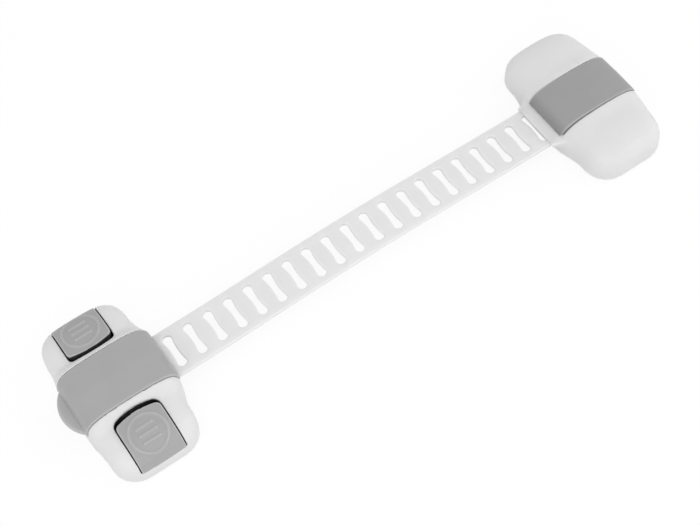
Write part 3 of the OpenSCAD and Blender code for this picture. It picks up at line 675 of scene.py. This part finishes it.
class STRAPLOCK_OT_strap(bpy.types.Operator):
    """Makes the slotted strap in one piece"""
    bl_idname = "straplock.strap"
    bl_label = "Strap"

    def execute(self, context):
        sizes = context.scene.strap_lock_sizes
        low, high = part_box("strap")
        strap = self.band(low, high)
        slots = self.slot_cutter(sizes.slot_points, low[2])
        finish_with(strap, "BOOLEAN", operation="DIFFERENCE", object=slots, solver="EXACT")
        bpy.data.objects.remove(slots)
        if len(strap.data.polygons) < SLOT_COUNT * sizes.slot_points:
            raise RuntimeError("The slots weren't cut through the strap")
        finish_with(strap, "BEVEL", width=sizes.edge_round, segments=5, limit_method="ANGLE",
                    angle_limit=math.radians(40), harden_normals=True, use_clamp_overlap=False)
        strap.data.materials.clear()
        strap.data.materials.append(finishes()["strap"])
        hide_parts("strap")
        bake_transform(strap)
        return {"FINISHED"}

    def band(self, low, high):
        """A flat band with round corners, cut across at every half pitch of its low arch, and raised there."""
        clear_selection()
        middle = ((low[0] + high[0]) / 2, (low[1] + high[1]) / 2, low[2] + STRAP_THICK / 2)
        bpy.ops.mesh.primitive_cube_add(size=1, location=middle)
        strap = bpy.context.object
        strap.name = "strap_band"
        strap.scale = (high[0] - low[0], high[1] - low[1], STRAP_THICK)
        bpy.ops.object.transform_apply(location=True, rotation=True, scale=True)
        bpy.ops.object.mode_set(mode="EDIT")
        bpy.ops.mesh.select_mode(type="EDGE")
        pick_edges(strap, lambda one, two: abs(one.z - two.z) > STRAP_THICK / 2)
        bpy.ops.mesh.bevel(offset=STRAP_CORNER, segments=10, affect="EDGES")
        half_pitch = SLOT_PITCH / 2
        for i in range(1, int((ARCH_END_X - FIRST_SLOT_X) / half_pitch) + 2):
            bpy.ops.mesh.select_all(action="SELECT")
            bpy.ops.mesh.bisect(plane_co=(FIRST_SLOT_X + i * half_pitch, 0, 0), plane_no=(1, 0, 0),
                                threshold=MERGE_NEW)
        bpy.ops.object.mode_set(mode="OBJECT")
        arch = high[2] - low[2] - STRAP_THICK
        for vertex in strap.data.vertices:
            along = (vertex.co.x - ARCH_START_X) / (ARCH_END_X - ARCH_START_X)
            if 0 < along < 1:
                vertex.co.z += arch * (1 - math.cos(2 * math.pi * along)) / 2
        return strap

    def slot_cutter(self, points, base):
        """Round-ended slots with a narrow waist, as one row of cutters."""
        clear_selection()
        middle = (FIRST_SLOT_X, 0, base - CUTTER_BELOW)
        bpy.ops.mesh.primitive_circle_add(vertices=points, radius=SLOT_END_WIDTH / 2, fill_type="NOTHING",
                                          location=middle)
        cutter = bpy.context.object
        bpy.ops.object.transform_apply(location=True, rotation=True, scale=True)
        bpy.ops.object.mode_set(mode="EDIT")
        bpy.ops.mesh.select_mode(type="VERT")
        reach = (SLOT_LENGTH - SLOT_END_WIDTH) / 2
        for side in (-1, 1):
            pick_points(cutter, lambda place: place.y * side > MIDDLE_LINE)
            bpy.ops.transform.translate(value=(0, side * reach, 0))
        bpy.ops.mesh.select_mode(type="EDGE")
        pick_edges(cutter, lambda one, two: (one - two).length > reach / 2)
        bpy.ops.mesh.subdivide(number_cuts=7)
        bpy.ops.mesh.select_mode(type="VERT")
        pick_points(cutter, lambda place: abs(place.y) < MIDDLE_LINE)
        bpy.ops.transform.resize(value=(SLOT_WAIST, 1, 1), center_override=middle, use_proportional_edit=True,
                                 proportional_edit_falloff="INVERSE_SQUARE", proportional_size=reach)
        bpy.ops.mesh.select_all(action="SELECT")
        bpy.ops.mesh.edge_face_add()
        bpy.ops.mesh.extrude_region_move(TRANSFORM_OT_translate={"value": (0, 0, CUTTER_HEIGHT)})
        face_outwards()
        bpy.ops.object.mode_set(mode="OBJECT")
        finish_with(cutter, "ARRAY", count=SLOT_COUNT, use_relative_offset=False, use_constant_offset=True,
                    constant_offset_displace=(SLOT_PITCH, 0, 0))
        return cutter


class STRAPLOCK_OT_springs(bpy.types.Operator):
    """Coils the two button springs"""
    bl_idname = "straplock.springs"
    bl_label = "Button Springs"

    def execute(self, context):
        curls = context.scene.strap_lock_sizes.spring_curls
        for end, side in (("front", -1), ("rear", 1)):
            node = "button_spring_" + end
            low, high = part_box(node)
            coil = self.coil("button_coil_" + end, low, high, curls)
            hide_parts(node)
            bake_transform(coil)
        return {"FINISHED"}

    def coil(self, name, low, high, curls):
        """A round wire wound along Y to fill this box, its two ends closed."""
        clear_selection()
        bpy.ops.mesh.primitive_circle_add(
            vertices=12, radius=SPRING_WIRE / 2,
            location=((low[0] + high[0]) / 2, low[1] + SPRING_WIRE / 2, (low[2] + high[2]) / 2))
        coil = bpy.context.object
        coil.name = name
        bpy.ops.object.mode_set(mode="EDIT")
        bpy.ops.mesh.select_all(action="SELECT")
        bpy.ops.transform.translate(value=((high[0] - low[0] - SPRING_WIRE) / 2, 0, 0))
        bpy.ops.object.mode_set(mode="OBJECT")
        finish_with(coil, "SCREW", axis="Y", steps=32, render_steps=32, iterations=curls,
                    screw_offset=(high[1] - low[1] - SPRING_WIRE) / curls)
        bpy.ops.object.transform_apply(location=True, rotation=True, scale=True)
        bpy.ops.object.mode_set(mode="EDIT")
        bpy.ops.mesh.select_all(action="SELECT")
        bpy.ops.mesh.remove_doubles(threshold=MERGE_NEW)
        bpy.ops.mesh.fill_holes(sides=0)
        face_outwards()
        bpy.ops.object.mode_set(mode="OBJECT")
        bpy.ops.object.shade_smooth_by_angle(angle=math.radians(50))
        coil.data.materials.append(finishes()["steel"])
        return coil


class STRAPLOCK_OT_clip(bpy.types.Operator):
    """Makes the catch clip as two arms, one on each side"""
    bl_idname = "straplock.clip"
    bl_label = "Catch Clip"

    def execute(self, context):
        for end, side in (("front", -1), ("rear", 1)):
            arm = merged_copy("catch_clip", "catch_arm_" + end)
            finish_with(arm, "BEVEL", width=CLIP_EDGE, segments=2, limit_method="ANGLE",
                        angle_limit=math.radians(40))
            pick(arm)
            bpy.ops.object.mode_set(mode="EDIT")
            bpy.ops.mesh.select_all(action="SELECT")
            bpy.ops.mesh.bisect(plane_co=(0, 0, 0), plane_no=(0, side, 0), use_fill=True, clear_inner=True)
            bpy.ops.object.mode_set(mode="OBJECT")
            bpy.ops.object.shade_smooth_by_angle(angle=math.radians(40))
            hand_over(arm, "latch", "clip_white", finishes()["clip"], "catch_clip")
            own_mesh(arm)
        return {"FINISHED"}


class STRAPLOCK_OT_inner(bpy.types.Operator):
    """Gives the CAD nodes that stay their finishes"""
    bl_idname = "straplock.inner"
    bl_label = "Inner Pieces"

    def execute(self, context):
        look = finishes()
        rows = {
            "strap_keeper": "block",
            "lock_base_plate": "plate", "anchor_base_plate": "plate",
            "lock_adhesive_pad": "foam", "anchor_adhesive_pad": "foam",
            "lock_base_screws": "steel", "anchor_base_screws": "steel", "latch_screws": "steel",
            "cover_hinge_pin": "steel",
        }
        for node, finish in rows.items():
            obj = NODES[node]
            for slot in obj.material_slots:
                slot.material = look[finish]
        return {"FINISHED"}


class STRAPLOCK_OT_stage(bpy.types.Operator):
    """Sets the pale floor, the soft light and the camera"""
    bl_idname = "straplock.stage"
    bl_label = "Floor, Light and Camera"

    def execute(self, context):
        scene = context.scene
        scene.view_settings.view_transform = "Standard"
        self.floor(scene.strap_lock_sizes.floor_size)
        self.sky(scene)
        for row in LAMPS:
            self.lamp(scene, *row)
        self.camera(scene)
        return {"FINISHED"}

    def floor(self, size):
        clear_selection()
        bpy.ops.mesh.primitive_plane_add(size=size, location=FLOOR_MIDDLE)
        floor = bpy.context.object
        floor.name = "floor"
        floor.data.materials.append(floor_white())

    def sky(self, scene):
        """An even white sky, of one level on the object and another where it is seen directly."""
        scene.world = bpy.data.worlds.new("studio")
        scene.world.use_nodes = True
        tree = scene.world.node_tree
        background = tree.nodes["Background"]
        background.inputs["Color"].default_value = (1, 1, 1, 1)
        level = add_node(tree, "MapRange", To_Min=SKY_LEVEL, To_Max=BACKDROP_LEVEL)
        tree.links.new(seen_directly(tree), level.inputs["Value"])
        tree.links.new(level.outputs["Result"], background.inputs["Strength"])

    def lamp(self, scene, name, place, size, power):
        light = bpy.data.lights.new(name, "AREA")
        light.size = size
        light.energy = power
        lamp = bpy.data.objects.new(name, light)
        scene.collection.objects.link(lamp)
        lamp.location = place
        lamp.rotation_euler = (Vector(LAMP_AIM) - Vector(place)).to_track_quat("-Z", "Y").to_euler()

    def camera(self, scene):
        camera = bpy.data.objects.new("camera", bpy.data.cameras.new("camera"))
        scene.collection.objects.link(camera)
        camera.data.lens = CAMERA_LENS
        camera.data.sensor_width = CAMERA_FILM
        camera.data.clip_end = 20
        turned = Matrix((CAMERA_RIGHT, CAMERA_UP, CAMERA_BACK)).transposed().to_4x4()
        camera.matrix_world = Matrix.Translation(CAMERA_PLACE) @ turned
        scene.camera = camera


class STRAPLOCK_PT_panel(bpy.types.Panel):
    bl_label = "Strap Lock"
    bl_idname = "STRAPLOCK_PT_panel"
    bl_space_type = "VIEW_3D"
    bl_region_type = "UI"
    bl_category = "Strap Lock"

    def draw(self, context):
        for group in (context.scene.strap_lock_sizes, context.scene.strap_lock_colours):
            for name in group.__annotations__:
                self.layout.prop(group, name)
        for operator in STEPS:
            self.layout.operator(operator.bl_idname)


STEPS = (
    STRAPLOCK_OT_stage,
    STRAPLOCK_OT_shells,
    STRAPLOCK_OT_buttons,
    STRAPLOCK_OT_covers,
    STRAPLOCK_OT_seats,
    STRAPLOCK_OT_strap,
    STRAPLOCK_OT_springs,
    STRAPLOCK_OT_clip,
    STRAPLOCK_OT_inner,
)
CLASSES = (StrapLockSizes, StrapLockColours, *STEPS, STRAPLOCK_PT_panel)


def register():
    for cls in CLASSES:
        bpy.utils.register_class(cls)
    bpy.types.Scene.strap_lock_sizes = bpy.props.PointerProperty(type=StrapLockSizes)
    bpy.types.Scene.strap_lock_colours = bpy.props.PointerProperty(type=StrapLockColours)


def unregister():
    del bpy.types.Scene.strap_lock_colours
    del bpy.types.Scene.strap_lock_sizes
    for cls in reversed(CLASSES):
        bpy.utils.unregister_class(cls)


def main():
    """Makes the whole scene."""
    register()
    bpy.ops.straplock.stage()
    bpy.ops.straplock.shells()
    bpy.ops.straplock.buttons()
    bpy.ops.straplock.covers()
    bpy.ops.straplock.seats()
    bpy.ops.straplock.strap()
    bpy.ops.straplock.springs()
    bpy.ops.straplock.clip()
    bpy.ops.straplock.inner()


if __name__ == "__main__":
    main()
